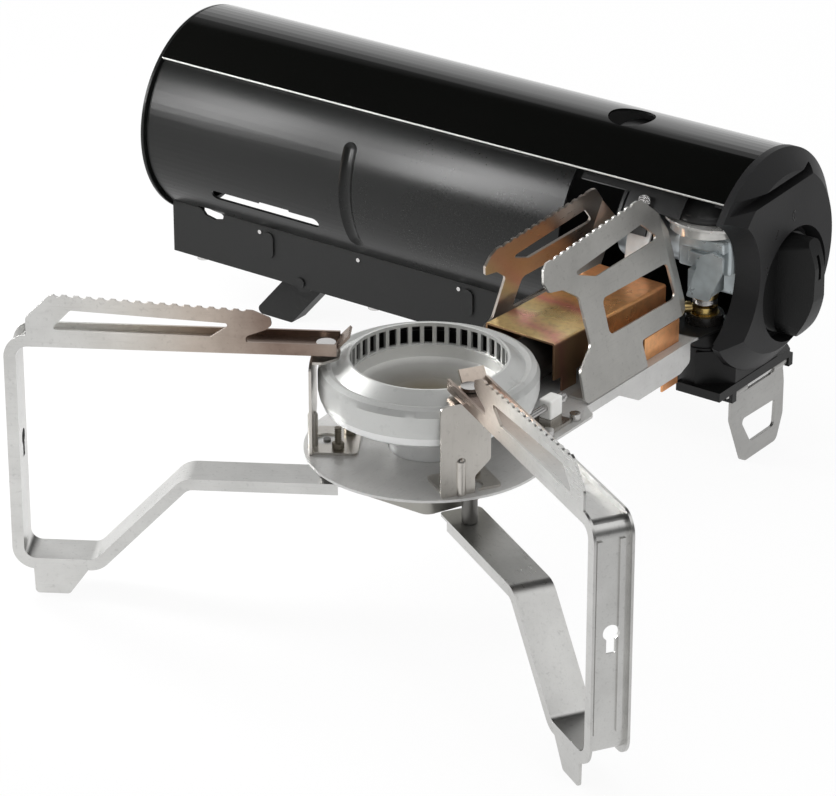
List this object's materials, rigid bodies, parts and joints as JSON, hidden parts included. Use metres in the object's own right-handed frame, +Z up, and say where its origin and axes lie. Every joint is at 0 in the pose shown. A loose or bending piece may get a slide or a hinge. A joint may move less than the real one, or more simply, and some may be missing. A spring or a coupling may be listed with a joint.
{
  "type": "butane cassette stove",
  "caption": "Fold-out gas stove: a tube case for the cartridge with a knob at one end, a burner arm with leaning pot supports and folding legs.",
  "frame": {"origin": "middle of the footprint, on the surface that the stove stands on", "axes": "+X along the cartridge tube towards the gas knob, +Z up, the burner arm reaches out along -Y"},
  "size_m": [0.3392, 0.275, 0.1173],
  "materials": {
    "cover_enamel": "gloss",
    "shell_black": "satin",
    "rail_charcoal": "matte",
    "guide_black": "satin",
    "housing_plastic": "matte",
    "base_plastic": "satin",
    "knob_plastic": "matte",
    "stainless": "satin",
    "leg_steel": "satin, heat tinted",
    "bracket_steel": "satin",
    "trivet_steel": "satin, heat tinted",
    "pin_steel": "bright",
    "zinc": "cast",
    "plated": "bright",
    "dome_black": "gloss",
    "brass": "satin",
    "copper": "satin, heat tinted",
    "dark_steel": "blackened",
    "burner_cast": "bead blasted",
    "bowl_steel": "satin",
    "ceramic": "glazed",
    "rubber": "matte"
  },
  "bodies": {
    "case": {"inner_shell": "shell_black", "left_cap": "shell_black", "base_rail": "rail_charcoal", "rail_buttons": "pin_steel", "foot_pin": "rail_charcoal", "end_housing": "housing_plastic", "housing_base": "base_plastic", "base_screws": "pin_steel", "stand_pin": "pin_steel", "guide_plate": "guide_black", "guide_screw": "pin_steel", "clamp_band": "plated", "socket_plate": "stainless", "canister_socket": "zinc", "socket_seal": "rubber", "magnets": "pin_steel", "regulator_body": "zinc", "regulator_bonnet": "zinc", "governor_plate": "pin_steel", "governor_dome": "dome_black", "regulator_screws": "pin_steel", "outlet_stub": "brass", "swivel_spring": "pin_steel", "arm_pivot_pin": "pin_steel", "pivot_bush": "base_plastic"},
    "cover": {"upper_shell": "cover_enamel"},
    "foot": {"case_foot": "rail_charcoal"},
    "stand": {"stand_plate": "stainless"},
    "gas_knob": {"knob": "knob_plastic", "control_spindle": "pin_steel"},
    "arm": {"arm_channel": "stainless", "trivet_front": "trivet_steel", "trivet_rear": "trivet_steel", "trivet_rivets": "pin_steel", "heat_panel": "copper", "heat_tab": "copper", "mixing_tube": "dark_steel", "air_shutter": "dark_steel", "injector": "brass", "gas_elbow": "dark_steel", "gas_pipe": "brass", "swivel": "brass", "burner_body": "burner_cast", "burner_ring": "burner_cast", "burner_bowl": "bowl_steel", "under_pan": "bowl_steel", "ceramic_block": "ceramic", "igniter_holder": "stainless", "electrode": "pin_steel", "igniter_screws": "pin_steel", "leg_bracket_left": "bracket_steel", "leg_bracket_right": "bracket_steel", "bracket_screws": "pin_steel", "leg_top_pins": "pin_steel", "pin_washers": "stainless", "leg_low_pins": "dark_steel"},
    "left_leg": {"leg_left": "leg_steel"},
    "right_leg": {"leg_right": "leg_steel"}
  },
  "joints": [
    {"name": "arm_swing", "type": "hinge", "parent": "case", "child": "arm", "pos_m": [0.06804, 0.07722, 0], "axis": [0, 0, 1], "range_deg": [-14, 0]},
    {"name": "cover_turn", "type": "hinge", "parent": "case", "child": "cover", "pos_m": [0.06104, 0.09722, 0.077], "axis": [1, 0, 0], "range_deg": [-52, 0]},
    {"name": "knob_turn", "type": "hinge", "parent": "case", "child": "gas_knob", "pos_m": [0.06104, 0.10522, 0.066], "axis": [1, 0, 0], "range_deg": [0, 90]},
    {"name": "stand_fold", "type": "hinge", "parent": "case", "child": "stand", "pos_m": [0.07834, 0.09722, 0.0306], "axis": [0, 1, 0], "range_deg": [0, 90]},
    {"name": "foot_fold", "type": "hinge", "parent": "case", "child": "foot", "pos_m": [-0.10696, 0.09722, 0.028], "axis": [0, 1, 0], "range_deg": [0, 38]},
    {"name": "leg_left_fold", "type": "hinge", "parent": "arm", "child": "left_leg", "pos_m": [0.01908, -0.07763, 0], "axis": [0, 0, -1], "range_deg": [0, 105]},
    {"name": "leg_right_fold", "type": "hinge", "parent": "arm", "child": "right_leg", "pos_m": [0.07639, -0.07763, 0], "axis": [0, 0, 1], "range_deg": [0, 105]}
  ]
}
